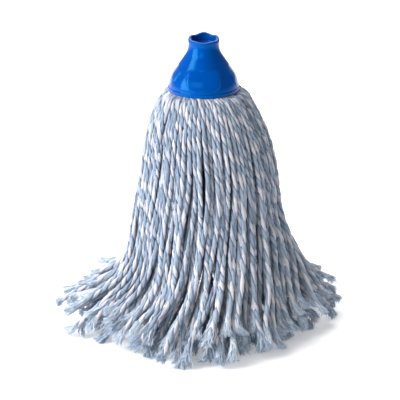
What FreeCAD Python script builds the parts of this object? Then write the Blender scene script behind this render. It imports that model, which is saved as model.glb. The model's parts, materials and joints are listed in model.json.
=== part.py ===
import FreeCAD, Part
import os

import Sketcher

# A string mop head standing on the floor: a moulded socket cap, a clamp cone snapped up into it,
# the folded heads of the yarn pinched between the two, and the yarn's legs, which hang from the
# rim in locks. +Z is up, the origin is on the floor under the socket's axis, and sizes are in mm.

os.makedirs("parts", exist_ok=True)

lockCount = 12  # outer and inner locks all round
coreCount = 6  # bundles of the yarn in the middle
waveCount = 5  # low places in the lip's wavy edge
padCount = 4  # thumb pads round the cap's shoulder
snapCount = 4  # hooks on the cone, each over a ledge in the cap
barbCount = 4  # gripping rings round the cone

sizes = {
    # the cap's outside; heights above the rim unless named otherwise
    "rimHeight": 252.0,  # the cap's rim above the floor
    "capHeight": 54.0,
    "flangeRadius": 36.7,
    "flangeHeight": 3.5,
    "flangeEdge": 0.6,
    "shoulderRadius": 35.7,
    "shoulderFoot": 4.4,
    "shoulderTopRadius": 31.15,
    "shoulderTopHeight": 19.09,
    "shoulderBend": 26.0,
    "neckFootRadius": 19.45,
    "neckFootHeight": 36.07,
    "neckBend": 22.0,
    "neckRadius": 15.6,
    "neckHeight": 48.5,
    "lipRadius": 16.3,
    "lipEdge": 52.6,
    "lipTopRadius": 15.3,
    # the cap's inside
    "wall": 2.0,
    "wallTopRadius": 29.5,
    "wallTopHeight": 17.95,
    "wallNeckRadius": 17.8,
    "wallNeckHeight": 34.93,
    "pocketTop": 38.0,
    "pocketTopRadius": 16.3,
    "tubeRadius": 13.0,
    "tubeFoot": 12.0,
    "mouthRadius": 12.4,
    "mouthFoot": 47.6,
    # the handle's thread, cut into the tube's bore
    "boreRadius": 10.3,
    "boreTop": 45.5,
    "threadDepth": 1.1,
    "threadFoot": 15.0,
    "threadRise": 32.0,
    "threadPitch": 5.0,
    "threadOpen": 3.0,
    "threadRoot": 1.2,
    "threadRunIn": 0.3,
    # the lip's wave
    "waveRadius": 13.0,
    "waveReach": 24.5,
    "waveDepth": 2.2,
    # the thumb pads
    "padFoot": 7.0,
    "padTop": 26.0,
    "padWidth": 33.0,
    "padCorner": 6.0,
    "padProud": 0.7,
    "padReach": 45.0,
    # the clamp cone
    "coneBore": 13.6,
    "coneFlange": 21.0,
    "coneFlangeFoot": -1.6,
    "coneFlangeTop": 0.6,
    "coneFootRadius": 19.2,
    "coneTopRadius": 16.2,
    "coneTop": 27.0,
    "barbFoot": 4.0,
    "barbPitch": 5.2,
    "barbHeight": 2.4,
    "barbReach": 1.1,
    "barbLean": 0.62,
    "hookInner": 14.2,
    "hookOuter": 16.0,
    "hookCatch": 18.4,
    "hookFoot": 26.0,
    "hookUnder": 31.9,
    "hookTop": 34.6,
    "hookAngle": 26.0,
    "ledgeInner": 17.3,
    "ledgeFoot": 29.6,
    "ledgeFootRadius": 22.2,
    "ledgeTop": 31.5,
    "ledgeTopRadius": 20.9,
    "ledgeAngle": 34.0,
    # the pinched heads of the yarn
    "headsFoot": 0.3,
    "headsFootInner": 21.65,
    "headsLipHeight": 1.1,
    "headsWallFoot": 1.6,
    "headsWallInner": 20.6,
    "headsFootOuter": 33.4,
    "headsShoulder": 4.4,
    "headsBend": 23.7,
    "headsBendTopRadius": 29.2,
    "headsBendTopHeight": 17.8,
    "headsTop": 28.4,
    "headsTopInner": 17.5,
    "headsTopOuter": 21.9,
    # an outer lock of yarn; heights above the floor
    "outerAngle": 26.9,
    "hingeRadius": 38.5,
    "hingeHeight": 247.0,
    "knuckle": 4.4,
    "knuckleBend": 4.401,
    "outerBulge": 66.0,
    "outerBulgeHeight": 185.0,
    "outerBulgeBend": 238.0,
    "outerWaist": 79.0,
    "outerWaistHeight": 107.0,
    "outerFlareBend": 124.0,
    "outerTip": 147.0,
    "outerTipTop": 24.0,
    "outerTipFoot": 1.5,
    "outerHeel": 137.0,
    "outerInsideFlareBend": 134.0,
    "outerInsideWaist": 70.6,
    "outerInsideWaistHeight": 105.4,
    "outerInsideBulge": 57.5,
    "outerInsideBulgeHeight": 184.0,
    "outerInsideBulgeBend": 229.0,
    # an inner lock, which stays with the cap
    "innerAngle": 29.0,
    "innerTop": 251.2,
    "innerTopOutside": 32.5,
    "innerTopInside": 26.4,
    "innerBulge": 56.9,
    "innerBulgeHeight": 184.0,
    "innerBulgeBend": 229.0,
    "innerWaist": 70.0,
    "innerWaistHeight": 105.2,
    "innerFlareBend": 134.6,
    "innerTip": 125.6,
    "innerTipTop": 8.0,
    "innerHeel": 110.0,
    "innerInsideFlareBend": 128.0,
    "innerInsideWaist": 62.4,
    "innerInsideWaistHeight": 103.6,
    "innerInsideBulge": 49.4,
    "innerInsideBulgeHeight": 183.0,
    "innerInsideBulgeBend": 222.0,
    # a bundle of the core
    "coreAngle": 58.6,
    "coreTop": 249.9,
    "coreTopOutside": 25.6,
    "coreBulge": 34.0,
    "coreBulgeHeight": 183.0,
    "coreBulgeBend": 400.0,
    "coreWaist": 39.0,
    "coreWaistHeight": 103.4,
    "coreFlareBend": 260.0,
    "coreFoot": 62.0,
    "coreInside": 3.0,
}

doc = FreeCAD.newDocument("StringMopHead")
sheet = doc.addObject("Spreadsheet::Sheet", "Sizes")
for row, (name, value) in enumerate(sizes.items(), 1):
    sheet.set(f"A{row}", name)
    sheet.set(f"B{row}", str(value))
    sheet.setAlias(f"B{row}", name)
doc.recompute()


def inSheet(expression):
    """The same expression as another object writes it: each size's name with the sheet's in front."""
    words = expression.replace("(", " ( ").replace(")", " ) ").split()
    return " ".join("Sizes." + word if word in sizes else word for word in words)


def measure(expression):
    """What an expression of sizes comes to, in mm or degrees."""
    return float(sheet.evalExpression(inSheet(expression)))


def newBody(label):
    body = doc.addObject("PartDesign::Body", label)
    body.Label = label
    return body


def outline(body, name, points, bends=None):
    """A closed sketch on the body's own XZ plane.

    points are pairs of expressions, and bends gives the edges that are arcs: the number of the
    edge's first point, its radius, and 1 where the arc turns left on its way or -1 where it turns
    right. Every point is held at its two distances from the origin, and every arc at its radius.
    """
    bends = bends or {}
    sketch = body.newObject("Sketcher::SketchObject", name)
    plane = next(f for f in body.Origin.OriginFeatures if f.Role == "XZ_Plane")
    sketch.AttachmentSupport = [(plane, "")]
    sketch.MapMode = "FlatFace"
    places = [FreeCAD.Vector(measure(x), measure(y), 0) for x, y in points]
    starts = []
    for i, start in enumerate(places):
        end = places[(i + 1) % len(places)]
        if i not in bends:
            sketch.addGeometry(Part.LineSegment(start, end), False)
            starts.append((i, 1, 2))
            continue
        radius, side = measure(bends[i][0]), bends[i][1]
        along = end - start
        across = FreeCAD.Vector(-along.y, along.x, 0).normalize()
        sagitta = radius - (radius**2 - (along.Length / 2) ** 2) ** 0.5
        crest = (start + end) * 0.5 - across * (side * sagitta)
        sketch.addGeometry(Part.Arc(start, crest, end), False)
        # an arc that turns right runs from its end to its start in the sketch
        starts.append((i, 1, 2) if side > 0 else (i, 2, 1))
    for i, (edge, first, last) in enumerate(starts):
        after, afterFirst, _ = starts[(i + 1) % len(starts)]
        sketch.addConstraint(
            Sketcher.Constraint("Coincident", edge, last, after, afterFirst)
        )
    for (x, y), (edge, first, _) in zip(points, starts):
        for kind, expression in (("DistanceX", x), ("DistanceY", y)):
            if measure(expression) == 0:
                axis = -2 if kind == "DistanceX" else -1
                sketch.addConstraint(
                    Sketcher.Constraint("PointOnObject", edge, first, axis)
                )
                continue
            held = sketch.addConstraint(
                Sketcher.Constraint(kind, -1, 1, edge, first, measure(expression))
            )
            sketch.setExpression(f"Constraints[{held}]", inSheet(expression))
    for edge, (radius, _) in bends.items():
        held = sketch.addConstraint(
            Sketcher.Constraint("Radius", edge, measure(radius))
        )
        sketch.setExpression(f"Constraints[{held}]", inSheet(radius))
    return sketch


def turn(body, sketch, name, angle=None, kind="PartDesign::Revolution"):
    """Turns a sketch about the body's Z: all round, or by an angle shared by both sides of its plane."""
    feature = body.newObject(kind, name)
    feature.Profile = sketch
    feature.ReferenceAxis = (sketch, ["V_Axis"])
    if angle is None:
        feature.Angle = 360
    else:
        feature.Midplane = True
        feature.setExpression("Angle", inSheet(angle))
    sketch.Visibility = False
    return feature


def ringOf(body, feature, name, count):
    """Repeats a feature evenly round the body's Z."""
    ring = body.newObject("PartDesign::PolarPattern", name)
    ring.Originals = [feature]
    ring.Axis = (
        next(f for f in body.Origin.OriginFeatures if f.Role == "Z_Axis"),
        [""],
    )
    ring.Angle = 360
    ring.Occurrences = count
    body.Tip = ring
    return ring


def aboveRim(height):
    return "rimHeight + " + height


def capOutside(proud=""):
    """The cap's outside from the shoulder's foot up to the neck, moved out by a size if one is named."""
    out = " + " + proud if proud else ""
    return [
        ("shoulderRadius" + out, aboveRim("shoulderFoot")),
        ("shoulderTopRadius" + out, aboveRim("shoulderTopHeight")),
        ("neckFootRadius" + out, aboveRim("neckFootHeight")),
        ("neckRadius" + out, aboveRim("neckHeight")),
    ]


def makeCapShell():
    """The moulded shell: flange, shoulder, neck and lip outside, and the threaded tube inside."""
    body = newBody("cap_shell")
    outside = [
        ("shoulderRadius - wall", "rimHeight"),
        ("flangeRadius - flangeEdge", "rimHeight"),
        ("flangeRadius", aboveRim("flangeEdge")),
        ("flangeRadius", aboveRim("flangeHeight")),
        *capOutside(),
        ("lipRadius", aboveRim("lipEdge")),
        ("lipTopRadius", aboveRim("capHeight")),
    ]
    inside = [
        ("mouthRadius + flangeEdge", aboveRim("capHeight")),
        ("mouthRadius", aboveRim("lipEdge")),
        ("mouthRadius", aboveRim("mouthFoot")),
        ("boreRadius", aboveRim("boreTop")),
        ("boreRadius", aboveRim("tubeFoot")),
        ("tubeRadius", aboveRim("tubeFoot")),
        ("tubeRadius", aboveRim("pocketTop")),
        ("pocketTopRadius", aboveRim("pocketTop")),
        ("wallNeckRadius", aboveRim("wallNeckHeight")),
        ("wallTopRadius", aboveRim("wallTopHeight")),
        ("shoulderRadius - wall", aboveRim("shoulderFoot")),
    ]
    wallTop = len(outside) + len(inside) - 2
    bends = {
        4: ("shoulderBend", 1),
        6: ("neckBend", -1),
        wallTop: ("shoulderBend - wall", -1),
    }
    section = outline(body, "ShellSection", outside + inside, bends)
    turn(body, section, "Shell")
    groove = outline(
        body,
        "ThreadSection",
        [
            ("boreRadius - threadRunIn", aboveRim("threadFoot")),
            ("boreRadius + threadDepth", aboveRim("threadFoot + ( threadOpen - threadRoot ) / 2")),
            ("boreRadius + threadDepth", aboveRim("threadFoot + ( threadOpen + threadRoot ) / 2")),
            ("boreRadius - threadRunIn", aboveRim("threadFoot + threadOpen")),
        ],
    )
    thread = body.newObject("PartDesign::SubtractiveHelix", "Thread")
    thread.Profile = groove
    thread.ReferenceAxis = (groove, ["V_Axis"])
    thread.Mode = "pitch-height-angle"
    thread.setExpression("Pitch", inSheet("threadPitch"))
    thread.setExpression("Height", inSheet("threadRise"))
    thread.Angle = 0
    groove.Visibility = False
    ledge = outline(
        body,
        "LedgeSection",
        [
            ("ledgeInner", aboveRim("ledgeFoot")),
            ("ledgeFootRadius", aboveRim("ledgeFoot")),
            ("ledgeTopRadius", aboveRim("ledgeTop")),
            ("ledgeInner", aboveRim("ledgeTop")),
        ],
    )
    oneLedge = turn(body, ledge, "Ledge", "ledgeAngle")
    ringOf(body, oneLedge, "Ledges", snapCount)
    return body


def makeWave():
    """One round cutter for each low place in the lip, the first at the front."""
    cutters = []
    for i in range(waveCount):
        cutter = doc.addObject("Part::Cylinder", f"WaveCutter{i + 1}")
        cutter.setExpression("Radius", inSheet("waveRadius"))
        cutter.setExpression("Height", inSheet("waveReach"))
        tilt = FreeCAD.Rotation(FreeCAD.Vector(1, 0, 0), 90)
        swing = FreeCAD.Rotation(FreeCAD.Vector(0, 0, 1), 360 / waveCount * i)
        height = measure("rimHeight + capHeight + waveRadius - waveDepth")
        cutter.Placement = FreeCAD.Placement(FreeCAD.Vector(0, 0, height), swing * tilt)
        cutter.setExpression(
            "Placement.Base.z",
            inSheet("rimHeight + capHeight + waveRadius - waveDepth"),
        )
        cutters.append(cutter)
    wave = doc.addObject("Part::MultiFuse", "Wave")
    wave.Shapes = cutters
    return wave


def makePads():
    """The thumb pads: a band a little proud of the shoulder, kept only behind four rounded outlines."""
    band = newBody("PadBand")
    section = outline(
        band,
        "BandSection",
        [
            *capOutside("padProud")[:3],
            ("neckRadius", aboveRim("neckFootHeight")),
            ("neckRadius", aboveRim("shoulderFoot")),
        ],
        {0: ("shoulderBend + padProud", 1)},
    )
    turn(band, section, "Band")
    blanks = []
    for i in range(padCount):
        blank = newBody(f"PadBlank{i + 1}")
        left, right = "-1 * padWidth / 2", "padWidth / 2"
        low, high = aboveRim("padFoot"), aboveRim("padTop")
        face = outline(
            blank,
            "PadOutline",
            [
                (left + " + padCorner", low),
                (right + " - padCorner", low),
                (right, low + " + padCorner"),
                (right, high + " - padCorner"),
                (right + " - padCorner", high),
                (left + " + padCorner", high),
                (left, high + " - padCorner"),
                (left, low + " + padCorner"),
            ],
            {edge: ("padCorner", 1) for edge in (1, 3, 5, 7)},
        )
        pad = blank.newObject("PartDesign::Pad", "PadBlock")
        pad.Profile = face
        pad.setExpression("Length", inSheet("padReach"))
        face.Visibility = False
        blank.Placement.Rotation = FreeCAD.Rotation(FreeCAD.Vector(0, 0, 1), 360 / padCount * i)
        blanks.append(blank)
    allBlanks = doc.addObject("Part::MultiFuse", "PadBlanks")
    allBlanks.Shapes = blanks
    pads = doc.addObject("Part::MultiCommon", "Pads")
    pads.Shapes = [band, allBlanks]
    hollow = newBody("PadHollow")
    inner = outline(
        hollow,
        "HollowSection",
        [
            ("0", aboveRim("0")),
            ("shoulderRadius - wall / 2", "rimHeight"),
            ("shoulderRadius - wall / 2", aboveRim("shoulderFoot")),
            ("shoulderTopRadius - wall / 2", aboveRim("shoulderTopHeight")),
            ("neckFootRadius - wall / 2", aboveRim("neckFootHeight")),
            ("0", aboveRim("neckFootHeight")),
        ],
        {2: ("shoulderBend - wall / 2", 1)},
    )
    turn(hollow, inner, "Hollow")
    shells = doc.addObject("Part::Cut", "PadShells")
    shells.Base = pads
    shells.Tool = hollow
    return shells


def makeSocketCap():
    """The shell with its pads joined on and its lip cut to a wave."""
    joined = doc.addObject("Part::MultiFuse", "CapWithPads")
    joined.Shapes = [makeCapShell(), makePads()]
    joined.Refine = False  # refining merges the thread's faces into a shape that isn't valid
    cap = doc.addObject("Part::Cut", "socket_cap")
    cap.Base = joined
    cap.Tool = makeWave()
    cap.Refine = False
    cap.Label = "socket_cap"
    return cap


def makeClampCone():
    """The cone that pins the yarn up into the cap: flange, barbed wall and four snap hooks."""
    body = newBody("clamp_cone")
    section = outline(
        body,
        "ConeSection",
        [
            ("coneBore", aboveRim("coneFlangeFoot")),
            ("coneFlange", aboveRim("coneFlangeFoot")),
            ("coneFlange", aboveRim("coneFlangeTop")),
            ("coneFootRadius", aboveRim("coneFlangeTop")),
            ("coneTopRadius", aboveRim("coneTop")),
            ("coneBore", aboveRim("coneTop")),
        ],
    )
    turn(body, section, "Cone")
    for i in range(barbCount):
        foot = aboveRim(f"barbFoot + {i} * barbPitch")
        wallThere = f"coneFootRadius - {i} * barbLean"
        barb = outline(
            body,
            f"BarbSection{i + 1}",
            [
                (wallThere + " - barbReach", foot),
                (wallThere + " - barbLean / 2 + barbReach", foot),
                (wallThere + " - barbReach", foot + " + barbHeight"),
            ],
        )
        turn(body, barb, f"Barb{i + 1}")
    hook = outline(
        body,
        "HookSection",
        [
            ("hookInner", aboveRim("hookFoot")),
            ("hookOuter", aboveRim("hookFoot")),
            ("hookOuter", aboveRim("hookUnder")),
            ("hookCatch", aboveRim("hookUnder")),
            ("hookOuter", aboveRim("hookTop")),
            ("hookInner", aboveRim("hookTop")),
        ],
    )
    oneHook = turn(body, hook, "Hook", "hookAngle")
    ringOf(body, oneHook, "Hooks", snapCount)
    return body


def makeYarnHeads():
    """The folded heads of all the strands, pinched in the ring between the cone and the cap."""
    body = newBody("yarn_heads")
    section = outline(
        body,
        "HeadsSection",
        [
            ("headsFootInner", aboveRim("headsFoot")),
            ("headsFootOuter", aboveRim("headsFoot")),
            ("headsFootOuter", aboveRim("headsShoulder")),
            ("headsBendTopRadius", aboveRim("headsBendTopHeight")),
            ("headsTopOuter", aboveRim("headsTop")),
            ("headsTopInner", aboveRim("headsTop")),
            ("headsWallInner", aboveRim("headsWallFoot")),
            ("headsFootInner", aboveRim("headsLipHeight")),
        ],
        {2: ("headsBend", 1)},
    )
    turn(body, section, "Heads")
    return body


def makeOuterLock(number):
    """A lock of the outside yarn. Its top is round about the hinge, so that it turns under the rim."""
    body = newBody(f"outer_lock_{number:02d}")
    section = outline(
        body,
        "LockSection",
        [
            ("hingeRadius - knuckle", "hingeHeight"),
            ("outerInsideBulge", "outerInsideBulgeHeight"),
            ("outerInsideWaist", "outerInsideWaistHeight"),
            ("outerHeel", "outerTipFoot"),
            ("outerTip", "outerTipFoot"),
            ("outerTip", "outerTipTop"),
            ("outerWaist", "outerWaistHeight"),
            ("outerBulge", "outerBulgeHeight"),
            ("hingeRadius + knuckle", "hingeHeight"),
        ],
        {
            0: ("outerInsideBulgeBend", -1),
            2: ("outerInsideFlareBend", 1),
            5: ("outerFlareBend", -1),
            7: ("outerBulgeBend", 1),
            8: ("knuckleBend", 1),
        },
    )
    turn(body, section, "Lock", "outerAngle")
    body.Placement.Rotation = FreeCAD.Rotation(
        FreeCAD.Vector(0, 0, 1), 360 / lockCount * (number - 1)
    )
    return body


def makeInnerLock(number):
    """A lock of the yarn under the outside layer, which stays where it hangs."""
    body = newBody(f"inner_lock_{number:02d}")
    section = outline(
        body,
        "LockSection",
        [
            ("innerTopInside", "innerTop"),
            ("innerInsideBulge", "innerInsideBulgeHeight"),
            ("innerInsideWaist", "innerInsideWaistHeight"),
            ("innerHeel", "0"),
            ("innerTip", "0"),
            ("innerTip", "innerTipTop"),
            ("innerWaist", "innerWaistHeight"),
            ("innerBulge", "innerBulgeHeight"),
            ("innerTopOutside", "hingeHeight"),
            ("innerTopOutside", "innerTop"),
        ],
        {
            0: ("innerInsideBulgeBend", -1),
            2: ("innerInsideFlareBend", 1),
            5: ("innerFlareBend", -1),
            7: ("innerBulgeBend", 1),
        },
    )
    turn(body, section, "Lock", "innerAngle")
    body.Placement.Rotation = FreeCAD.Rotation(
        FreeCAD.Vector(0, 0, 1), 360 / lockCount * (number - 1)
    )
    return body


def makeCoreBundle(number):
    """A bundle of the yarn in the middle, which the mop stands on."""
    body = newBody(f"core_bundle_{number:02d}")
    section = outline(
        body,
        "BundleSection",
        [
            ("coreInside", "coreTop"),
            ("coreInside", "0"),
            ("coreFoot", "0"),
            ("coreWaist", "coreWaistHeight"),
            ("coreBulge", "coreBulgeHeight"),
            ("coreTopOutside", "coreTop"),
        ],
        {
            2: ("coreFlareBend", -1),
            4: ("coreBulgeBend", 1),
        },
    )
    turn(body, section, "Bundle", "coreAngle")
    body.Placement.Rotation = FreeCAD.Rotation(
        FreeCAD.Vector(0, 0, 1), 360 / coreCount * (number - 1)
    )
    return body


pieces = [makeSocketCap(), makeClampCone(), makeYarnHeads()]
pieces += [makeOuterLock(number) for number in range(1, lockCount + 1)]
pieces += [makeInnerLock(number) for number in range(1, lockCount + 1)]
pieces += [makeCoreBundle(number) for number in range(1, coreCount + 1)]
doc.recompute()

for item in doc.Objects:
    if "Invalid" in item.State or "Error" in item.State:
        raise RuntimeError(f"{item.Name} failed: {item.State}")
for piece in pieces:
    if piece.Shape.isNull() or not piece.Shape.isValid():
        raise RuntimeError(f"{piece.Label} has no valid shape")
    piece.Shape.exportStep(f"parts/{piece.Label}.step")
    print(f"{piece.Label}: {len(piece.Shape.Solids)} solid, {piece.Shape.Volume / 1000:.1f} cm3")
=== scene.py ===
import json

import bpy
import numpy as np
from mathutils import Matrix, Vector

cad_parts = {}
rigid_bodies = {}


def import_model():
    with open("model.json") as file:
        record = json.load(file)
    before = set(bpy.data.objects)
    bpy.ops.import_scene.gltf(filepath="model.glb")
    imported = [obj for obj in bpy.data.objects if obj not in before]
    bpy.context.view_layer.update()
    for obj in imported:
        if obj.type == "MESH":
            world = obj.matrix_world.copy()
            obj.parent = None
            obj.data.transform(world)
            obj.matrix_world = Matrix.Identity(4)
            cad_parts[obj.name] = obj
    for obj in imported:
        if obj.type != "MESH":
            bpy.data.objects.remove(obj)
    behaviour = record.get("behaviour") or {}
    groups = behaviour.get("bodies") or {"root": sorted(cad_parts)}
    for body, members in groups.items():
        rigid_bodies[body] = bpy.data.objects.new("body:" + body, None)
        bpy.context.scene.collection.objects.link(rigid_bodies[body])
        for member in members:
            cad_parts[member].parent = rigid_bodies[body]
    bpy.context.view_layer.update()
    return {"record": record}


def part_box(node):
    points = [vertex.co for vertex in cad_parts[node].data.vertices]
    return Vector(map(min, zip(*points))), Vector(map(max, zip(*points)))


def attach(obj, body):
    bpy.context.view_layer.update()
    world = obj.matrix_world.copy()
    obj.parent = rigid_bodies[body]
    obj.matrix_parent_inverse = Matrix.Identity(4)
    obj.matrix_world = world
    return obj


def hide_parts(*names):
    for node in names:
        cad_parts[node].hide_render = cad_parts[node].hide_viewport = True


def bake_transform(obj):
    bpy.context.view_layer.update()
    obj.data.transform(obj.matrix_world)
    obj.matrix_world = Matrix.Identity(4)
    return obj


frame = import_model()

mm = 0.001
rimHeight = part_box("socket_cap")[0][2] / mm
lockCount = len(frame["record"]["behaviour"]["joints"])  # one hinge for each outer lock
coreCount = 6
chance = np.random.default_rng(24)


# A node's socket that adds, subtracts and multiplies like a number.
class Wire:
    def __init__(self, finish, socket):
        self.finish = finish
        self.socket = socket

    def sum(self, operation, first, second):
        return self.finish.node("ShaderNodeMath", {"operation": operation}, {0: first, 1: second})

    def __add__(self, other):
        return self.sum("ADD", self, other)

    def __radd__(self, other):
        return self.sum("ADD", other, self)

    def __sub__(self, other):
        return self.sum("SUBTRACT", self, other)

    def __rsub__(self, other):
        return self.sum("SUBTRACT", other, self)

    def __mul__(self, other):
        return self.sum("MULTIPLY", self, other)

    def __rmul__(self, other):
        return self.sum("MULTIPLY", other, self)


class Finish:
    def __init__(self, name):
        self.material = bpy.data.materials.new(name)
        self.material.use_nodes = True
        self.tree = self.material.node_tree
        self.tree.nodes.clear()

    # every node comes from here: its settings first, then its sockets' values or links
    def node(self, kind, settings=None, sockets=None, out=0):
        made = self.tree.nodes.new(kind)
        for key, value in (settings or {}).items():
            if key == "stops":
                ramp = made.color_ramp.elements
                while len(ramp) < len(value):
                    ramp.new(0.5)
                for stop, (place, colour) in zip(ramp, value):
                    stop.position = place
                    stop.color = (*colour, 1)
            else:
                setattr(made, key, value)
        for key, value in (sockets or {}).items():
            if isinstance(value, Wire):
                self.tree.links.new(value.socket, made.inputs[key])
            else:
                made.inputs[key].default_value = value
        return Wire(self, made.outputs[out]) if len(made.outputs) else None

    def mix(self, factor, first, second):
        return self.node(
            "ShaderNodeMix",
            {"data_type": "RGBA", "clamp_factor": True},
            {0: factor, 6: first, 7: second},
            out=2,
        )

    def noise(self, where, scale, detail=3.0, roughness=0.55):
        return self.node(
            "ShaderNodeTexNoise",
            {"noise_dimensions": "3D"},
            {"Vector": where, "Scale": scale, "Detail": detail, "Roughness": roughness},
        )

    # stretches a place by three factors before a pattern reads it
    def stretched(self, where, factors):
        return self.node(
            "ShaderNodeMapping", {"vector_type": "POINT"}, {"Vector": where, "Scale": factors}
        )

    def bump(self, height, distance, strength=1.0):
        return self.node(
            "ShaderNodeBump", {}, {"Height": height, "Distance": distance, "Strength": strength}
        )

    def surface(self, sockets):
        shader = self.node("ShaderNodeBsdfPrincipled", {}, sockets)
        self.node("ShaderNodeOutputMaterial", {}, {"Surface": shader})
        return self.material


def colour(red, green, blue):
    return (red, green, blue, 1.0)


# A mesh from points in millimetres and faces of four corners, put in as whole arrays. The spreads
# are numbers that the finishes read at each point, by name.
def newPiece(name, points, quads, finishes, uv=None, slots=None, spreads=None, smooth=True):
    mesh = bpy.data.meshes.new(name)
    mesh.vertices.add(len(points))
    mesh.vertices.foreach_set("co", (points * mm).astype(np.float32).ravel())
    mesh.loops.add(quads.size)
    mesh.loops.foreach_set("vertex_index", quads.astype(np.int32).ravel())
    mesh.polygons.add(len(quads))
    mesh.polygons.foreach_set("loop_start", np.arange(0, quads.size, 4, dtype=np.int32))
    for finish in finishes:
        mesh.materials.append(finish)
    if slots is not None:
        mesh.polygons.foreach_set("material_index", slots.astype(np.int32))
    mesh.update(calc_edges=True)
    mesh.polygons.foreach_set("use_smooth", np.full(len(quads), smooth))
    if uv is not None:
        layer = mesh.uv_layers.new(name="Along")
        layer.data.foreach_set("uv", uv.astype(np.float32).ravel())
    for key, values in (spreads or {}).items():
        spread = mesh.attributes.new(key, "FLOAT", "POINT")
        spread.data.foreach_set("value", values.astype(np.float32).ravel())
    mesh.validate()
    piece = bpy.data.objects.new(name, mesh)
    bpy.context.collection.objects.link(piece)
    return piece


# A wall carried round the axis: the profile's radius and height at each angle, closed both ways.
def turnedWall(radius, height):
    steps, around = radius.shape
    angle = np.linspace(0, 2 * np.pi, around, endpoint=False)
    points = np.stack([radius * np.cos(angle), radius * np.sin(angle), height], -1)
    row, column = np.meshgrid(np.arange(steps), np.arange(around), indexing="ij")
    nextRow, nextColumn = (row + 1) % steps, (column + 1) % around
    quads = np.stack(
        [
            row * around + column,
            row * around + nextColumn,
            nextRow * around + nextColumn,
            nextRow * around + column,
        ],
        -1,
    )
    return points.reshape(-1, 3), quads.reshape(-1, 4)


endFaces = {
    4: [(0, 1, 2, 3)],
    6: [(0, 1, 2, 5), (5, 2, 3, 4)],
    8: [(0, 1, 2, 7), (7, 2, 3, 6), (6, 3, 4, 5)],
}


# Tubes along lines: a ring of the radius there, square to the two side directions, at each point.
# lines and sides are [tube, point, 3] and radii [tube, point]; both ends are closed.
def tubes(lines, across, upright, radii, ringOf, shade):
    count, steps, _ = lines.shape
    turn = np.linspace(0, 2 * np.pi, ringOf, endpoint=False)
    ring = (
        across[:, :, None] * np.cos(turn)[:, None] + upright[:, :, None] * np.sin(turn)[:, None]
    )
    points = lines[:, :, None] + ring * radii[:, :, None, None]
    row, column = np.meshgrid(np.arange(steps - 1), np.arange(ringOf), indexing="ij")
    after = (column + 1) % ringOf
    wall = np.stack(
        [
            row * ringOf + column,
            row * ringOf + after,
            (row + 1) * ringOf + after,
            (row + 1) * ringOf + column,
        ],
        -1,
    ).reshape(-1, 4)
    last = np.array(endFaces[ringOf])
    quads = np.concatenate([wall, last[:, ::-1], last + (steps - 1) * ringOf])
    along = np.concatenate(
        [
            np.zeros((count, 1)),
            np.cumsum(np.linalg.norm(np.diff(lines, axis=1), axis=2), axis=1),
        ],
        axis=1,
    )
    u = along[:, quads // ringOf]
    v = np.broadcast_to((quads % ringOf) / ringOf, u.shape).copy()
    seam = np.zeros(quads.shape, bool)
    seam[: len(wall), 1:3] = (wall[:, 1:3] % ringOf) == 0
    v[:, seam] = 1.0
    uv = np.stack([u * 0.1, v], -1)
    starts = np.arange(count)[:, None, None] * (steps * ringOf)
    shades = np.repeat(shade, steps * ringOf)
    return points.reshape(-1, 3), (quads[None] + starts).reshape(-1, 4), uv.reshape(-1, 2), shades


def joined(parts):
    points, quads, uv, shades, slots, start = [], [], [], [], [], 0
    for (partPoints, partQuads, partUv, partShades), slot in parts:
        points.append(partPoints)
        quads.append(partQuads + start)
        uv.append(partUv)
        shades.append(partShades)
        slots.append(np.full(len(partQuads), slot))
        start += len(partPoints)
    return tuple(np.concatenate(each) for each in (points, quads, uv, shades, slots))


def smoothStep(value, low, high):
    t = np.clip((value - low) / (high - low), 0, 1)
    return t * t * (3 - 2 * t)


# Yarn: light, dark and deep are its colours where it is full, hollow and shaded, the shaded one
# partly painted shade, and edge is how much lighter a ply is along its middle than along its edges,
# which is partly painted shade in the grooves between plies.
def yarnFinish(name, light, dark, deep, edge=0.0):
    finish = Finish(name)
    where = finish.node("ShaderNodeTexCoord", {}, {}, out=2)
    place = finish.node("ShaderNodeTexCoord", {}, {}, out=3)
    # shade carries each strand's own tone, painted shade on the inner layers and painted light near
    # the ends
    shade = finish.node("ShaderNodeAttribute", {"attribute_name": "shade"}, {}, out=2)
    # the fibres run along the ply, so the streaks are long one way and fine the other
    streak = finish.noise(finish.stretched(where, (1.3, 5.0, 1.0)), 2.2, 4.0, 0.7)
    fine = finish.noise(finish.stretched(where, (4.0, 26.0, 1.0)), 2.0, 3.0, 0.65)
    tuftiness = finish.noise(place, 420.0, 3.0, 0.6)
    patch = finish.noise(place, 38.0, 2.0, 0.5)
    # a ply is lightest along its middle, and its edges are darker: partly the colour of the one
    # beside it, partly painted shade in the groove between the plies
    around = finish.node("ShaderNodeSeparateXYZ", {}, {"Vector": where}, out=1)
    crown = finish.node("ShaderNodeMath", {"operation": "COSINE"}, {0: around * 6.2832})
    tone = streak * 0.55 + fine * 0.35 + patch * 0.2
    amount = tone * 2.2 - 0.86 + shade * 0.65 + crown * edge
    base = finish.mix(amount, finish.mix(tone + shade * 0.6, deep, dark), light)
    # painted shade: the sides that a strand turns to its neighbours are darkened towards a
    # near-black blue
    hollow = finish.node("ShaderNodeAttribute", {"attribute_name": "hollow"}, {}, out=2)
    base = finish.mix(hollow * 0.72 + fine * hollow * 0.2, base, colour(0.035, 0.06, 0.11))
    height = streak * 0.55 + fine * 0.3 + tuftiness * 0.35
    return finish.surface(
        {
            "Base Color": base,
            "Roughness": 0.78 + fine * 0.2,
            "Normal": finish.bump(height, 0.0006, 0.75),
            "Specular IOR Level": 0.2,
            "Sheen Weight": 0.2,
            "Sheen Roughness": 0.6,
            "Sheen Tint": colour(0.92, 0.95, 1.0),
        }
    )


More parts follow.
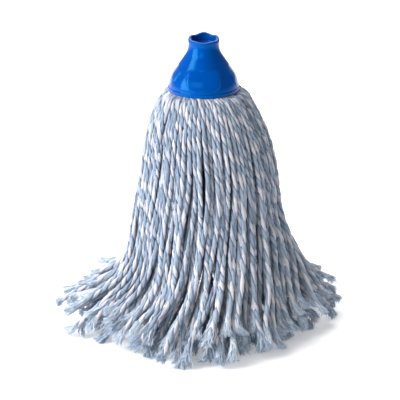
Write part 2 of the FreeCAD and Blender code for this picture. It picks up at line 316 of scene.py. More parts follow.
def plasticFinish(name, base, deep, roughness):
    finish = Finish(name)
    place = finish.node("ShaderNodeTexCoord", {}, {}, out=3)
    cloud = finish.noise(place, 46.0, 3.0, 0.5)
    skin = finish.noise(place, 900.0, 3.0, 0.6)
    scuff = finish.noise(finish.stretched(place, (60.0, 60.0, 420.0)), 1.6, 4.0, 0.7)
    # the lip is rubbed dull by handles
    height = finish.node("ShaderNodeSeparateXYZ", {}, {"Vector": place}, out=2)
    rubbed = finish.node(
        "ShaderNodeMapRange",
        {"interpolation_type": "SMOOTHSTEP"},
        {"Value": height, "From Min": 0.3005, "From Max": 0.3035},
    )
    return finish.surface(
        {
            "Base Color": finish.mix(cloud * 0.7 + 0.1, deep, base),
            "Roughness": roughness + cloud * 0.05 + scuff * 0.06 + rubbed * 0.4,
            "Normal": finish.bump(skin * 0.6 + scuff * 0.4, 0.00006, 0.35),
            "Specular IOR Level": 0.4,
            "Specular Tint": colour(0.04, 0.6, 1.0),
        }
    )


whitePly = yarnFinish(
    "white_ply", colour(0.64, 0.625, 0.66), colour(0.40, 0.45, 0.55), colour(0.13, 0.18, 0.28), 0.22
)
bluePly = yarnFinish(
    "blue_ply",
    colour(0.35, 0.425, 0.53),
    colour(0.148, 0.213, 0.31),
    colour(0.035, 0.06, 0.11),
    0.22,
)
capPlastic = plasticFinish(
    "cap_plastic", colour(0.0, 0.068, 0.352), colour(0.0, 0.055, 0.3), 0.09
)
conePlastic = plasticFinish(
    "cone_plastic", colour(0.02, 0.12, 0.5), colour(0.01, 0.09, 0.4), 0.35
)
paleFibre = yarnFinish(
    "pale_fibre", colour(0.78, 0.84, 0.92), colour(0.52, 0.62, 0.75), colour(0.2, 0.29, 0.42)
)
blueFibre = yarnFinish(
    "blue_fibre", colour(0.48, 0.6, 0.74), colour(0.29, 0.4, 0.55), colour(0.1, 0.17, 0.28)
)
print("finishes made")

# The camera looks down a little on the whole head from its front.
viewer = {"distance": 3.0, "rise": 18.5, "aim": (-0.0038, 0.0, 0.1324), "lens": 261.4}
rise = np.radians(viewer["rise"])
aim = Vector(viewer["aim"])
camera = bpy.data.objects.new("camera", bpy.data.cameras.new("camera"))
camera.data.lens = viewer["lens"]
camera.data.sensor_width = 36
camera.data.clip_end = 60
camera.location = aim + viewer["distance"] * Vector((0, -np.cos(rise), np.sin(rise)))
camera.rotation_euler = (aim - camera.location).to_track_quat("-Z", "Y").to_euler()
bpy.context.collection.objects.link(camera)
bpy.context.scene.camera = camera
bpy.context.scene.view_settings.view_transform = "Standard"

lamps = [
    # name, place, width, height, watts
    ("tall_left", (-2.05, -1.05, 1.15), 1.6, 2.2, 95),
    ("wide_top", (-0.55, 0.1, 2.3), 1.7, 1.4, 10),
    ("front_left", (-0.7, -2.4, 1.6), 1.2, 1.2, 10.5),
    ("far_floor", (0.0, 4.2, 3.4), 4.0, 3.0, 290),
]
for name, place, width, height, watts in lamps:
    lamp = bpy.data.lights.new(name, "AREA")
    lamp.shape = "RECTANGLE"
    lamp.size, lamp.size_y = width, height
    lamp.energy = watts
    stand = bpy.data.objects.new(name, lamp)
    stand.location = place
    towards = Vector((0, 0, 0.15)) - Vector(place)
    stand.rotation_euler = towards.to_track_quat("-Z", "Y").to_euler()
    bpy.context.collection.objects.link(stand)

world = bpy.data.worlds.new("studio")
world.use_nodes = True
world.node_tree.nodes["Background"].inputs["Color"].default_value = (0.95, 0.98, 1.0, 1)
world.node_tree.nodes["Background"].inputs["Strength"].default_value = 0.2
bpy.context.scene.world = world

floorFinish = Finish("floor")
floorPlace = floorFinish.node("ShaderNodeTexCoord", {}, {}, out=3)
floorGrain = floorFinish.noise(floorPlace, 6.0)
floorSheet = floorFinish.surface(
    {
        "Base Color": floorFinish.mix(
            floorGrain, colour(0.87, 0.87, 0.88), colour(0.9, 0.9, 0.9)
        ),
        "Roughness": 0.75 + floorGrain * 0.1,
        "Emission Color": colour(1.0, 1.0, 1.0),
        "Emission Strength": 0.3,  # a lit table
    }
)
floorEdge = 9000.0
floor = newPiece(
    "floor",
    np.array([(-1, -1, 0), (1, -1, 0), (1, 1, 0), (-1, 1, 0)], float) * floorEdge,
    np.array([(0, 1, 2, 3)]),
    [floorSheet],
    smooth=False,
)
print("camera, light and floor set")

# All in mm and degrees, with heights from the cap's rim.
cap = {
    "around": 240,
    "arcPoints": 20,
    "waves": 5,
    "waveDepth": 1.9,
    "waveRise": 0.7,
    "lipTilt": 1.6,  # the lip's far side is a little higher than its near side
    "waveFront": -90.0,  # the azimuth of one low place, at the front
    "padHalf": 15.5,
    "padSwell": 1.6,  # how much wider a pad is where the thumb goes
    "padFoot": 7.0,
    "padTop": 26.0,
    "padEdge": 1.5,
    "padFlat": 60.0,  # the pad's own radius, flatter than the shoulder
    "padProud": -0.45,
    "notches": 44,
    "notchDepth": 0.28,
    "threadDepth": 1.1,
    "threadPitch": 5.0,
    "threadFoot": 15.0,
    "threadOpen": 3.0,
    "threadRoot": 1.2,
}


# An arc between two points of the profile: bend is its radius, turning left when positive.
def arcOf(start, end, bend, count):
    start, end = np.array(start, float), np.array(end, float)
    along = end - start
    length = np.hypot(*along)
    side = np.array([-along[1], along[0]]) / length
    centre = (start + end) / 2 + side * np.copysign(np.sqrt(bend**2 - length**2 / 4), bend)
    first = np.arctan2(*(start - centre)[::-1])
    sweep = np.arctan2(*(end - centre)[::-1]) - first
    sweep = (sweep + np.pi) % (2 * np.pi) - np.pi
    angle = first + sweep * np.linspace(0, 1, count)
    return centre + abs(bend) * np.stack([np.cos(angle), np.sin(angle)], -1)


def lineOf(start, end, count):
    return np.array(start) + (np.array(end) - np.array(start)) * np.linspace(0, 1, count)[:, None]


# The cap is one closed profile turned round the axis. Its radius and height then change with the
# angle: the lip dips in waves, the pads stand out flatter, the flange is notched and the bore has
# its thread.
def makeCap():
    n = cap["arcPoints"]
    outside = np.concatenate(
        [
            lineOf((33.7, 0.0), (36.1, 0.0), 4),
            arcOf((36.15, 0.0), (36.7, 0.55), 0.56, 5),
            lineOf((36.7, 0.8), (36.7, 3.0), 4),
            arcOf((36.7, 3.05), (36.25, 3.5), 0.46, 5),
            arcOf((35.85, 3.9), (30.7, 19.09), 26.0, n + 8),
            lineOf((30.7, 19.09), (19.3, 36.07), 40)[1:],
            arcOf((19.3, 36.07), (15.6, 48.5), -23.0, n)[1:],
            lineOf((15.6, 48.5), (15.9, 52.2), 8)[1:],
            arcOf((15.9, 52.3), (14.2, 53.98), 1.7, 8),
            lineOf((14.1, 54.0), (13.7, 54.0), 3),
            arcOf((13.6, 54.0), (12.4, 52.9), 1.2, 7),
        ]
    )
    outsideCount = len(outside)
    mouth = np.concatenate(
        [lineOf((12.4, 52.8), (12.4, 47.8), 8), lineOf((12.3, 47.5), (10.4, 45.6), 5)]
    )
    bore = lineOf((10.3, 45.4), (10.3, 12.1), 96)
    inside = np.concatenate(
        [
            lineOf((10.4, 12.0), (12.9, 12.0), 3),
            lineOf((13.0, 12.1), (13.0, 37.9), 6),
            lineOf((13.1, 38.0), (16.2, 38.0), 3),
            lineOf((16.3, 37.8), (17.8, 34.93), 3),
            lineOf((17.9, 34.8), (29.5, 17.95), 8),
            arcOf((29.5, 17.95), (33.7, 4.4), -24.0, 10)[1:],
            lineOf((33.7, 4.0), (33.7, 0.1), 3),
        ]
    )
    profile = np.concatenate([outside, mouth, bore, inside])
    angle = np.linspace(0, 2 * np.pi, cap["around"], endpoint=False)
    radius = np.repeat(profile[:, :1], cap["around"], axis=1)
    height = np.repeat(profile[:, 1:], cap["around"], axis=1)
    index = np.arange(len(profile))[:, None]
    isOutside = index < outsideCount
    # the lip's wave, full at the top and gone 7 mm below it
    front = np.radians(cap["waveFront"])
    dip = 0.5 + 0.5 * np.cos(cap["waves"] * (angle - front))
    nearLip = smoothStep(height, 46.5, 53.2) * (index < outsideCount + len(mouth))
    radius = radius + 0.25 * nearLip * isOutside * (dip - 0.4)
    # the pads: a rounded outline, wider in the middle, on a flatter face
    fromPad = (angle - front + np.pi / 4) % (np.pi / 2) - np.pi / 4
    sideways = radius * np.sin(fromPad)
    middle = (cap["padFoot"] + cap["padTop"]) / 2
    half = cap["padHalf"] + cap["padSwell"] * np.cos((height - middle - 1.5) / 5.6)
    upDown = np.abs(height - middle) - (cap["padTop"] - cap["padFoot"]) / 2
    corner = 5.0
    past = np.hypot(
        np.maximum(np.abs(sideways) - half + corner, 0), np.maximum(upDown + corner, 0)
    )
    onPad = smoothStep(corner - past, -cap["padEdge"] / 2, cap["padEdge"] / 2)
    rounder = 1 / np.maximum(radius, 12) - 1 / cap["padFlat"]
    flatter = cap["padProud"] + sideways**2 / 2 * rounder
    onOutside = isOutside & (height > 5.0) & (height < 34.0)
    radius = radius + np.where(onOutside, onPad * np.clip(flatter, -1.0, 1.5), 0)
    # fine notches round the flange
    notch = np.clip(np.cos(cap["notches"] * angle) * 3 - 2, 0, 1)
    onFlange = isOutside & (height > 0.3) & (height < 3.3)
    radius = radius - np.where(onFlange, notch * cap["notchDepth"], 0)
    # the thread is a groove that climbs one pitch a turn
    isBore = (index >= outsideCount + len(mouth)) & (
        index < outsideCount + len(mouth) + len(bore)
    )
    climb = (height - cap["threadFoot"] - cap["threadPitch"] * angle / (2 * np.pi)) % cap[
        "threadPitch"
    ]
    fromMiddle = np.abs(climb - cap["threadOpen"] / 2)
    groove = np.clip(
        (cap["threadOpen"] / 2 - fromMiddle) / ((cap["threadOpen"] - cap["threadRoot"]) / 2), 0, 1
    )
    groove = groove * smoothStep(height, 14.5, 16.5)
    radius = radius + np.where(isBore, groove * cap["threadDepth"], 0)
    # the waves are deeper on the far side
    wave = (cap["waveRise"] - cap["waveDepth"] * dip) * (0.6 + 0.4 * np.sin(angle))
    height = height + nearLip * (wave + cap["lipTilt"] * np.sin(angle))
    points, quads = turnedWall(radius, height + rimHeight)
    piece = newPiece("socket_cap_shell", points, quads, [capPlastic])
    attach(piece, "head")
    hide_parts("socket_cap")
    return piece


makeCap()
for slot in bpy.data.objects["clamp_cone"].material_slots:
    slot.material = conePlastic
print("cap made")

# Each list is one strand's way down, as distance from the axis and height above the floor.
outerEarly = [  # an outside strand that starts to spread high up
    (30.6, 262.0), (30.8, 254.5), (34.8, 249.0), (41.2, 248.6), (46.6, 240.5), (53.2, 226.0),
    (59.0, 210.0), (62.8, 193.5), (65.4, 177.0), (68.2, 160.0), (70.8, 143.0), (73.2, 126.0),
    (77.6, 109.5), (81.6, 93.0), (86.6, 77.0), (94.0, 62.6), (103.5, 50.0), (117.0, 38.6),
    (130.0, 27.6), (142.5, 17.5),
]
outerLate = [  # one that hangs further before it spreads
    (30.6, 262.0), (30.8, 254.5), (34.4, 248.9), (40.4, 247.6), (45.8, 239.2), (52.2, 224.5),
    (58.0, 208.5), (62.0, 192.0), (64.8, 175.5), (67.4, 158.5), (69.8, 141.5), (72.0, 124.5),
    (74.0, 108.0), (76.0, 91.5), (79.0, 75.0), (85.0, 59.6), (95.0, 46.0), (107.6, 34.8),
    (121.0, 23.6), (134.0, 13.0),
]
behindEarly = [  # the second layer, which comes forward between the first lower down
    (28.6, 262.0), (28.8, 254.0), (31.8, 248.0), (37.2, 245.0), (42.4, 237.6), (49.2, 222.8),
    (55.6, 207.0), (60.2, 190.6), (63.4, 174.4), (66.6, 157.8), (69.6, 141.0), (72.4, 124.2),
    (76.0, 107.6), (79.0, 91.0), (83.2, 75.2), (90.6, 60.6), (100.4, 47.6), (113.4, 36.4),
    (126.5, 25.0), (138.5, 14.0),
]
behindLate = [
    (28.6, 262.0), (28.8, 254.0), (31.6, 248.0), (36.8, 244.6), (41.8, 237.0), (48.4, 222.0),
    (54.6, 206.0), (59.2, 189.6), (62.4, 173.2), (65.2, 156.4), (67.8, 139.6), (70.0, 122.6),
    (71.6, 106.0), (72.8, 89.4), (74.8, 72.8), (79.6, 57.0), (88.2, 42.8), (99.8, 30.8),
    (112.8, 20.4), (125.8, 10.6),
]
innerEarly = [  # a strand of an inner lock
    (26.6, 262.0), (26.8, 254.0), (28.8, 247.2), (32.6, 241.6), (37.0, 234.0), (43.4, 219.4),
    (49.4, 203.8), (54.0, 187.6), (57.2, 171.2), (60.0, 154.6), (62.4, 138.0), (64.4, 121.4),
    (66.6, 104.8), (68.4, 88.2), (71.6, 71.8), (77.2, 56.0), (86.0, 41.6), (98.0, 29.2),
    (111.6, 18.4), (124.0, 8.0),
]
innerLate = [
    (26.6, 262.0), (26.8, 254.0), (28.6, 247.0), (32.0, 241.0), (36.2, 233.4), (42.2, 218.8),
    (47.8, 203.0), (52.2, 186.8), (55.2, 170.4), (57.6, 153.8), (59.6, 137.0), (61.4, 120.2),
    (63.0, 103.4), (64.6, 86.8), (67.6, 70.4), (73.0, 54.8), (81.6, 40.6), (92.4, 27.6),
    (104.0, 15.2), (113.0, 4.0),
]
middle = [  # a strand of the core, which the mop stands on
    (24.2, 262.0), (24.4, 254.0), (24.2, 246.4), (22.8, 239.0), (21.4, 231.0), (21.0, 216.0),
    (22.0, 199.6), (24.0, 183.2), (26.0, 166.8), (28.0, 150.4), (30.0, 134.0), (32.0, 117.6),
    (36.4, 101.4), (42.0, 85.2), (49.0, 69.4), (57.0, 54.2), (66.0, 39.8), (77.0, 26.8),
    (92.0, 16.0), (108.0, 6.0),
]
# how far the whole skirt leans to +X at each station: fuller on that side, longer on the other
lean = np.array(
    [0, 0, 0, 1.5, 1.8, 2.0, 3.0, 4.0, 4.8, 5.0, 4.6, 4.4, 4.6, 5.0, 6.0, 6.0, 4.5, 1.0, -2.0, -4]
)
# and how much sooner it spreads on that side
sooner = np.array([0, 0, 0, 0, 0, 0, 0, 0, 0, 0, 0, 0.5, 2.5, 6.0, 8.5, 9.0, 7.5, 5.0, 2.0, 0])

# how far the longest tips reach at each azimuth, in degrees and mm: least at the front's corners
footOutline = np.array(
    [(-180, 139), (-170, 140), (-160, 148), (-150, 125), (-135, 126), (-120, 131), (-100, 138),
     (-85, 140), (-68, 134), (-55, 118), (-40, 114), (-28, 117), (-18, 128), (0, 138), (25, 149),
     (50, 143), (90, 134), (130, 138), (155, 141)],
    float,
)
layers = [
    {
        "name": "outer",
        "owners": lockCount,
        "each": 6,
        "routes": (outerEarly, outerLate),
        "share": (0.0, 0.9),
    },
    {
        "name": "behind",
        "owners": lockCount,
        "each": 6,
        "routes": (behindEarly, behindLate),
        "share": (0.1, 1.0),
    },
    {
        "name": "inner",
        "owners": lockCount,
        "each": 6,
        "routes": (innerEarly, innerLate),
        "share": (0.0, 1.0),
    },
    {
        "name": "middle",
        "owners": coreCount,
        "each": 8,
        "routes": (middle, middle),
        "share": (0.0, 1.0),
    },
]
strand = {
    "diameter": 5.3,
    "touch": 4.3,  # how near two strands' middles come where they press together
    "wander": (5.0, 3.0, 1.8, 1.3, 0.9),  # how far each of its slow waves takes it sideways
    "swirl": -12.0,  # how many degrees the skirt turns from top to bottom
    "clump": 0.2,  # how much of the way to the middle of its clump an end goes
    "clumpSize": 4.4,  # ends in a clump
    "rounds": 70,
    "push": 0.28,
    "most": 1.6,  # how far one round may push a strand
    "back": 0.035,  # how much of the way back to its own route a strand is drawn in one round
    "pins": 4,
    "shortest": -30.0,
    "longest": 4.0,
    "tipLift": 8.0,  # how much higher the tips at the back end
    "stray": 4.5,  # how far to one side an end strays
    "reach": 138.0,  # the foot outline's usual reach
}


def makeRoutes():
    routes, owners, kinds = [], [], []
    stations = len(outerEarly)
    t = np.linspace(0, 1, stations)
    free = smoothStep(t, 0.12, 0.5)
    low = smoothStep(t, 0.45, 0.95)
    clumpEdges = np.cumsum(chance.uniform(0.5, 1.5, 40) * strand["clumpSize"] * 3.75)
    clumpEdges = clumpEdges[clumpEdges < 360]
    for kind, layer in enumerate(layers):
        count = layer["each"] * layer["owners"]
        pitch = 360 / count
        owner = np.repeat(np.arange(layer["owners"]), layer["each"])
        base = owner * 360 / layer["owners"] + pitch * (
            np.tile(np.arange(layer["each"]), layer["owners"]) - (layer["each"] - 1) / 2
        )
        base = base + chance.uniform(-0.6, 0.6, count)
        share = chance.uniform(*layer["share"], count)[:, None, None]
        first, second = (np.array(route)[None] for route in layer["routes"])
        route = first * (1 - share) + second * share
        if layer["name"] == "middle":
            pull = np.tile([1.0, 0.6, 0.85, 0.4], count // 4)[:, None]
            route[:, :, 0] *= 1 - (1 - pull) * smoothStep(t, 0.15, 0.4) * (1 - low * 0.5)
        # sideways wander: a few slow waves, wider lower down, given in mm and turned to degrees
        waves = sum(
            size * np.sin(2 * np.pi * (0.6 * (k + 1) * t + chance.uniform(0, 1, (count, 1))))
            for k, size in enumerate(strand["wander"])
        )
        swing = waves * (0.35 + 0.65 * low) * free / route[:, :, 0]
        azimuth = np.radians(base)[:, None] + swing
        # the ends gather in clumps
        near = np.degrees(azimuth[:, -1]) % 360
        home = np.digitize(near, clumpEdges)
        bounds = np.concatenate([[0], clumpEdges, [360]])
        centre = (bounds[home] + bounds[home + 1]) / 2
        gap = np.radians((centre - near + 180) % 360 - 180)[:, None]
        azimuth = azimuth + gap * strand["clump"] * low * (layer["name"] != "middle")
        azimuth = azimuth + np.radians(strand["swirl"]) * low
        inOut = chance.normal(0, 1.0, (count, 1)) * free + 1.3 * free * np.sin(
            2 * np.pi * (1.6 * t + chance.uniform(0, 1, (count, 1)))
        )
        toSide = np.clip(np.cos(azimuth - np.radians(15)), 0, 1) ** 1.5
        toSide = toSide - 0.5 * np.clip(-np.cos(azimuth + np.radians(30)), 0, 1)
        radius = route[:, :, 0] + inOut + sooner * toSide * (layer["name"] != "middle")
        foot = np.interp(np.degrees(azimuth[:, -1:]), *footOutline.T, period=360)
        further = (foot / strand["reach"] - 1) * (layer["name"] != "middle")
        radius = radius * (1 + further * smoothStep(t, 0.6, 1.0))
        lift = chance.normal(0, 4.0, (count, 1)) + strand["tipLift"] * np.clip(
            np.sin(azimuth) + 0.35, 0, 1
        )
        height = route[:, :, 1] + lift * smoothStep(t, 0.86, 1.0)
        stray = chance.normal(0, strand["stray"], (count, 1)) / strand["reach"]
        azimuth = azimuth + stray * smoothStep(t, 0.72, 1)
        points = np.stack(
            [radius * np.cos(azimuth) + lean, radius * np.sin(azimuth), height], -1
        )
        # some strands are longer than others
        extra = strand["longest"] + (strand["shortest"] - strand["longest"]) * chance.uniform(
            0, 1, (count, 1, 1)
        ) ** 1.8
        whole = np.linalg.norm(np.diff(points, axis=1), axis=2).sum(1)[:, None, None]
        keep = (1 + extra / whole) * t[:, None] * (stations - 1)
        lower = np.clip(np.floor(keep).astype(int), 0, stations - 2)[..., 0]
        row = np.arange(count)[:, None]
        part = keep - lower[..., None]
        stretched = points[row, lower] * (1 - part) + points[row, lower + 1] * part
        points[:, 4:] = stretched[:, 4:]
        routes.append(points)
        owners.append(owner)
        kinds.append(np.full(count, kind))
    return np.concatenate(routes), np.concatenate(owners), np.concatenate(kinds)


# Strands that press into each other are pushed apart, station by station and half way between
# stations, while each keeps its length, stays off the floor and is drawn back to its own way down.
def settle(points):
    rest = points.copy()
    runs = np.linalg.norm(np.diff(points, axis=1), axis=2)
    touch = strand["touch"]
    count, stations, _ = points.shape
    hold = np.ones((1, stations, 1))
    hold[:, : strand["pins"]] = 0
    other = ~np.eye(count, dtype=bool)[:, :, None]
    for _ in range(strand["rounds"]):
        for half in (0.0, 0.5):
            spots = points[:, :-1] * (1 - half) + points[:, 1:] * half
            between = spots[:, None] - spots[None]
            apart = np.sqrt((between**2).sum(-1)) + 1e-6
            press = np.clip(touch - apart, 0, touch) * other
            push = (between / apart[..., None] * press[..., None]).sum(1) * strand["push"]
            size = np.linalg.norm(push, axis=2, keepdims=True) + 1e-9
            push *= np.minimum(size, strand["most"]) / size
            points[:, :-1] += push * (1 - half) * hold[:, :-1]
            points[:, 1:] += push * half * hold[:, 1:]
        points += (rest - points) * strand["back"] * hold
        for start in (0, 1, 0, 1):
            step = points[:, start + 1 :: 2] - points[:, start:-1:2]
            size = np.linalg.norm(step, axis=2, keepdims=True)
            wrong = step * (1 - runs[:, start::2, None] / size) * 0.5
            points[:, start:-1:2] += wrong * hold[:, start:-1:2]
            points[:, start + 1 :: 2] -= wrong * hold[:, start + 1 :: 2]
        floorLine = strand["diameter"] / 2 + 0.1
        points[:, :, 2] = np.maximum(points[:, :, 2], floorLine)
    return points


# One NURBS spline for each route; the strands follow the points that the splines give.
def splineLines(routes, fineness):
    curve = bpy.data.curves.new("routes", "CURVE")
    curve.dimensions = "3D"
    curve.resolution_u = fineness
    for route in routes:
        spline = curve.splines.new("NURBS")
        spline.points.add(len(route) - 1)
        spline.points.foreach_set(
            "co", np.concatenate([route * mm, np.ones((len(route), 1))], 1).ravel()
        )
        spline.order_u = 3
        spline.use_endpoint_u = True
    holder = bpy.data.objects.new("routes", curve)
    bpy.context.collection.objects.link(holder)
    bpy.context.view_layer.update()
    mesh = bpy.data.meshes.new_from_object(
        holder.evaluated_get(bpy.context.evaluated_depsgraph_get())
    )
    points = np.zeros(len(mesh.vertices) * 3)
    mesh.vertices.foreach_get("co", points)
    bpy.data.objects.remove(holder)
    bpy.data.curves.remove(curve)
    bpy.data.meshes.remove(mesh)
    return points.reshape(len(routes), -1, 3) / mm


# The same lines with their points evenly spaced.
def evenly(lines, count):
    out = np.zeros((len(lines), count, 3))
    for i, line in enumerate(lines):
        along = np.concatenate([[0], np.cumsum(np.linalg.norm(np.diff(line, axis=0), axis=1))])
        wanted = np.linspace(0, along[-1], count)
        for axis in range(3):
            out[i, :, axis] = np.interp(wanted, along, line[:, axis])
    return out


def directions(lines):
    along = np.gradient(lines, axis=1)
    along /= np.linalg.norm(along, axis=2, keepdims=True)
    azimuth = np.arctan2(lines[:, :, 1], lines[:, :, 0])
    around = np.stack([-np.sin(azimuth), np.cos(azimuth), np.zeros_like(azimuth)], -1)
    across = around - (around * along).sum(-1, keepdims=True) * along
    across /= np.linalg.norm(across, axis=2, keepdims=True)
    return along, across, np.cross(along, across)


routes, owners, kinds = makeRoutes()
print("routes laid:", len(routes))
routes = settle(routes)
lines = splineLines(routes, 12)
lengths = np.linalg.norm(np.diff(lines, axis=1), axis=2).sum(1)
print(f"strands settled, {lengths.min():.0f} to {lengths.max():.0f} mm long")

ply = {
    "steps": (126, 126, 92, 80),  # for the strands of each layer
    "offset": 1.16,  # from the strand's line to the ply's middle
    "thick": 1.45,
    "wide": 2.12,
    "pitch": 24.5,
    "hand": -1.0,  # which way it is twisted
    "slub": 0.1,  # how uneven its thickness is
    "dim": (1.0, 0.85, 0.4, 0.25),  # how much painted shade darkens the sides of each layer's strands
    "endLightFrom": 120.0,  # how far back from its end a strand starts to be painted paler, partly painted light
    "endLight": 0.45,
}


# Two plies wind round the strand's line. Each is a flattened tube whose middle stands off the line
# by the offset, at an angle that grows with the length, the second half a turn from the first.
def pliedStrands(lines, shades, loose, dims, ringOf=8):
    along, across, upright = directions(lines)
    count, steps, _ = lines.shape
    run = np.linalg.norm(np.diff(lines, axis=1), axis=2)
    travel = np.concatenate([np.zeros((count, 1)), np.cumsum(run, axis=1)], axis=1)
    left = travel[:, -1:] - travel
    opening = 1 - smoothStep(left / loose[:, None], 0, 1)
    uneven = sum(
        size * np.sin(2 * np.pi * (travel / wave + chance.uniform(0, 1, (count, 1))))
        for size, wave in ((0.9, 83.0), (0.5, 47.0), (0.3, 27.0))
    )
    pitch = ply["pitch"] * chance.uniform(0.84, 1.2, (count, 1))
    wind = ply["hand"] * 2 * np.pi * travel / pitch + uneven
    wind = wind + chance.uniform(0, 2 * np.pi, (count, 1))
    parts = []
    for slot in (0, 1):
        turn = (wind + slot * np.pi)[..., None]
        outward = across * np.cos(turn) + upright * np.sin(turn)
        slub = 1 + ply["slub"] * sum(
            np.sin(2 * np.pi * (travel / wave + chance.uniform(0, 1, (count, 1))))
            for wave in (19.0, 8.3)
        )
        fuller = 0.94 + 0.12 * smoothStep(travel, 60, 240)
        sideways = upright * np.cos(turn) - across * np.sin(turn)
        radii = slub * fuller * (1 - 0.45 * opening)
        middles = lines + outward * (ply["offset"] * fuller * (1 + 0.7 * opening))[..., None]
        wall = tubes(middles, outward * ply["thick"], sideways * ply["wide"], radii, ringOf, shades)
        parts.append((wall, slot))
    points, quads, uv, shade, slots = joined(parts)
    # how far round the strand each point is from the side that faces out of the skirt
    fromLine = points.reshape(2, count, steps, ringOf, 3) - lines[:, :, None]
    facing = (fromLine * upright[:, :, None]).sum(-1) / (ply["offset"] + ply["thick"])
    # painted shade on the sides a strand turns inward: stronger higher up, weaker on the inner
    # layers, gone where its end opens
    shadowed = 0.3 + 0.75 * smoothStep(lines[:, :, 2], 50, 190)
    hollow = (1 - smoothStep(facing, -0.35, 0.62)) * (
        (1 - opening) * shadowed * dims[:, None]
    )[:, :, None]
    # painted light, partly the paler yarn of the ends: the last part of each strand is made paler
    endLight = ply["endLight"] * (1 - smoothStep(left / ply["endLightFrom"], 0, 1))
    shade = shade + np.tile(np.repeat(endLight.ravel(), ringOf), 2)
    return points, quads, uv, {"shade": shade, "hollow": hollow}, slots


fray = {
    "fibres": (96, 96, 64, 40),  # at each end, for the strands of each layer
    "bushy": (1.0, 1.05, 1.45, 1.5),
    "short": 8.0,  # how far back from its end a strand has come apart, at least and at most
    "long": 30.0,
    "past": 6.5,  # how far the fibres run on past the end
    "wide": 3.6,
    "wider": 0.12,  # and wider by this part of the length that has come apart
    "thick": 3.6,
    "thin": 0.36,  # a fibre's own radius
    "crimp": 1.1,
    "curl": 3.2,
    "pale": 0.62,  # from how far out the fibres are all pale
}


# The cut end of a strand comes apart into fibres: each leaves a ply, runs on past the end and
# spreads with the square of its length, wider along the floor than up and down.
def frayedEnds(lines, fibres, bushy, shades, loose):
    along, across, upright = directions(lines)
    count = len(lines)
    steps = 5
    t = np.linspace(0, 1, steps)
    step = np.linalg.norm(lines[:, -1] - lines[:, -2], axis=1)
    size = (count, fibres)
    back = loose[:, None] * chance.uniform(0.45, 1.1, size)
    past = fray["past"] * chance.uniform(0.55, 1.1, size) * chance.uniform(0.7, 1.3, (count, 1))
    end, forward = lines[:, -1], along[:, -1]
    flat = np.cross(np.array([0, 0, 1.0])[None], forward)
    flat /= np.linalg.norm(flat, axis=1, keepdims=True)
    high = np.cross(forward, flat)
    roll = chance.uniform(-0.5, 0.5, (count, 1))
    wideWay = flat * np.cos(roll) + high * np.sin(roll)
    thickWay = high * np.cos(roll) - flat * np.sin(roll)
    angle = chance.uniform(0, 2 * np.pi, size)
    reach = np.sqrt(chance.uniform(0, 1, size))
    a, b = reach * np.cos(angle), reach * np.sin(angle)
    opened = chance.uniform(0.65, 1.2, (count, 1))
    distance = -back[..., None] + (back + past)[..., None] * t
    # the fibres follow the strand's own line until its end
    where = np.clip(lines.shape[1] - 1 + distance / step[:, None, None], 0, lines.shape[1] - 1)
    low = np.floor(where).astype(int)
    part = (where - low)[..., None]
    following = np.minimum(low + 1, lines.shape[1] - 1)
    row = np.arange(count)[:, None, None]
    middle = lines[row, low] * (1 - part) + lines[row, following] * part
    middle = middle + forward[:, None, None] * np.maximum(distance, 0)[..., None]
    curls = chance.normal(0, fray["curl"], (count, 1, 2))
    curls = curls + chance.normal(0, 2.0, (count, fibres, 2))
    curls = curls[:, :, :, None] * t**2
    spread = bushy * (0.46 + 0.54 * t)
    half = (fray["wide"] + fray["wider"] * loose)[:, None, None]
    sideA = a[..., None] * half * opened[..., None] * spread
    sideB = b[..., None] * fray["thick"] * spread
    phase = chance.uniform(0, 2 * np.pi, (count, fibres, 2, 1))
    crimp = fray["crimp"] * np.sin(2 * np.pi * 1.7 * t + phase) * t
    points = (
        middle
        + wideWay[:, None, None] * (sideA + crimp[:, :, 0] + curls[:, :, 0])[..., None]
        + thickWay[:, None, None] * (sideB + crimp[:, :, 1] + curls[:, :, 1] * 0.5)[..., None]
    )
    points[..., 2] = np.maximum(points[..., 2], 0.4)
    points = points.reshape(count * fibres, steps, 3)
    ways = np.gradient(points, axis=1)
    ways /= np.linalg.norm(ways, axis=2, keepdims=True)
    one = np.cross(ways, np.array([0.3, 0.2, 1.0]))
    one /= np.linalg.norm(one, axis=2, keepdims=True)
    other = np.cross(ways, one)
    radii = fray["thin"] * np.sqrt(bushy) * np.array([0.8, 1.0, 1.0, 0.9, 0.5])
    radii = np.broadcast_to(radii, (count * fibres, steps))
    shade = np.repeat(shades, fibres) + chance.uniform(-0.6, 0.8, count * fibres)
    # the outer fibres are pale, the ones in the middle a mixture
    pale = (reach.ravel() > fray["pale"]) | (chance.uniform(0, 1, count * fibres) < 0.35)
    parts = []
    for slot, chosen in ((0, pale), (1, ~pale)):
        wall = tubes(points[chosen], one[chosen], other[chosen], radii[chosen], 4, shade[chosen])
        parts.append((wall, slot))
    points, quads, uv, shade, slots = joined(parts)
    return points, quads, uv, {"shade": shade}, slots


# the ends at the front have come apart the most
toFront = np.clip(-lines[:, -1, 1] / 100, 0, 1)
loose = fray["short"] + (fray["long"] - fray["short"]) * (
    chance.uniform(0, 0.75, len(lines)) * toFront + chance.uniform(0, 0.25, len(lines))
)
# each strand's own tone at random, and the inner layers painted darker as painted shade
shades = chance.uniform(-0.3, 0.5, len(lines)) - np.array([0, 0.05, 0.1, 0.2])[kinds]
# the strands that reach furthest are pieces of their own
cordCount = 40
reachOut = np.hypot(lines[:, -1, 0], lines[:, -1, 1])
outerOnes = np.flatnonzero(kinds == 0)
declared = outerOnes[np.argsort(-reachOut[outerOnes])][:cordCount]


def yarnPiece(name, chosen, body, nodes, blended=None, ringOf=8):
    even = evenly(lines[chosen], ply["steps"][kinds[chosen[0]]])
    dims = np.array(ply["dim"])[kinds[chosen]]
    points, quads, uv, spreads, slots = pliedStrands(
        even, shades[chosen], loose[chosen], dims, ringOf
    )
    piece = newPiece(name, points, quads, [whitePly, bluePly], uv, slots, spreads)
    if blended:
        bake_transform(piece)
    else:
        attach(piece, body)
    for node in nodes:
        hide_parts(node)
    return piece


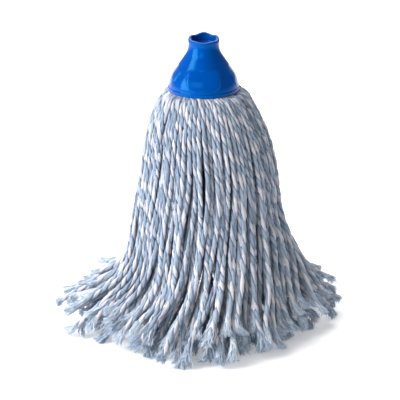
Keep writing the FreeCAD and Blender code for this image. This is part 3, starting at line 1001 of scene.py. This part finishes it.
def endsPiece(name, chosen, body):
    even = evenly(lines[chosen], ply["steps"][0])
    kind = kinds[chosen[0]]
    points, quads, uv, spreads, slots = frayedEnds(
        even, fray["fibres"][kind], fray["bushy"][kind], shades[chosen], loose[chosen]
    )
    piece = newPiece(name, points, quads, [paleFibre, blueFibre], uv, slots, spreads)
    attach(piece, body)
    return piece


for lock in range(lockCount):
    number = f"{lock + 1:02d}"
    body = f"lock_{number}"
    turn = 2 * np.pi * lock / lockCount
    out = Vector((np.cos(turn), np.sin(turn), 0))
    # two points on the bend under the rim, where the strands turn from the head's way to the
    # lock's; given to yarnPiece, which then leaves the strands unattached to a body
    fold = (out * 0.033 + Vector((0, 0, 0.257)), out * 0.047 + Vector((0, 0, 0.236)))
    mine = np.flatnonzero((kinds <= 1) & (owners == lock))
    cords = [i for i in mine if i in declared]
    others = np.array([i for i in mine if i not in declared])
    yarnPiece(f"lock_{number}_strands", others, body, [f"outer_lock_{number}"], fold)
    for place, i in enumerate(cords, 1):
        cord = yarnPiece(
            f"lock_{number}_long_{place}", np.array([i]), body, [f"outer_lock_{number}"], fold
        )
        float(lengths[i] * mm)
    endsPiece(f"lock_{number}_ends", mine, body)
    inside = np.flatnonzero((kinds == 2) & (owners == lock))
    yarnPiece(f"inner_{number}_strands", inside, "head", [f"inner_lock_{number}"], ringOf=6)
    endsPiece(f"inner_{number}_ends", inside, "head")
for bundle in range(coreCount):
    number = f"{bundle + 1:02d}"
    mine = np.flatnonzero((kinds == 3) & (owners == bundle))
    yarnPiece(f"core_{number}_strands", mine, "head", [f"core_bundle_{number}"], ringOf=6)
    endsPiece(f"core_{number}_ends", mine, "head")
print("strands plied and frayed")

heads = {
    "loops": 36,
    "skew": 0.07,  # how far each loop leans round the axis, in radians
    "fineness": 8,
    "steps": 26,
    "route": [
        (29.8, 256.5), (27.2, 263.5), (23.4, 269.3), (20.4, 271.6), (21.2, 267.5), (23.2, 261.5),
        (24.2, 256.5),
    ],
}


# The folded heads are pinched between the cone and the cap: loops of yarn side by side in a ring.
def makeHeads():
    loops = heads["loops"]
    radius, height = np.array(heads["route"]).T
    turn = np.linspace(0, 2 * np.pi, loops, endpoint=False)[:, None]
    turn = turn + np.linspace(-heads["skew"], heads["skew"], len(radius))
    route = np.stack(
        [radius * np.cos(turn), radius * np.sin(turn), np.broadcast_to(height, turn.shape)], -1
    )
    loopLines = evenly(splineLines(route, heads["fineness"]), heads["steps"])
    points, quads, uv, spreads, slots = pliedStrands(
        loopLines, chance.uniform(0, 0.5, loops), np.ones(loops), np.ones(loops)
    )
    piece = newPiece("folded_heads", points, quads, [whitePly, bluePly], uv, slots, spreads)
    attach(piece, "head")
    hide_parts("yarn_heads")


makeHeads()
print("heads folded")

triangles = sum(
    2 * len(o.data.polygons) for o in bpy.data.objects if o.type == "MESH" and not o.hide_render
)
print("about", triangles, "triangles")
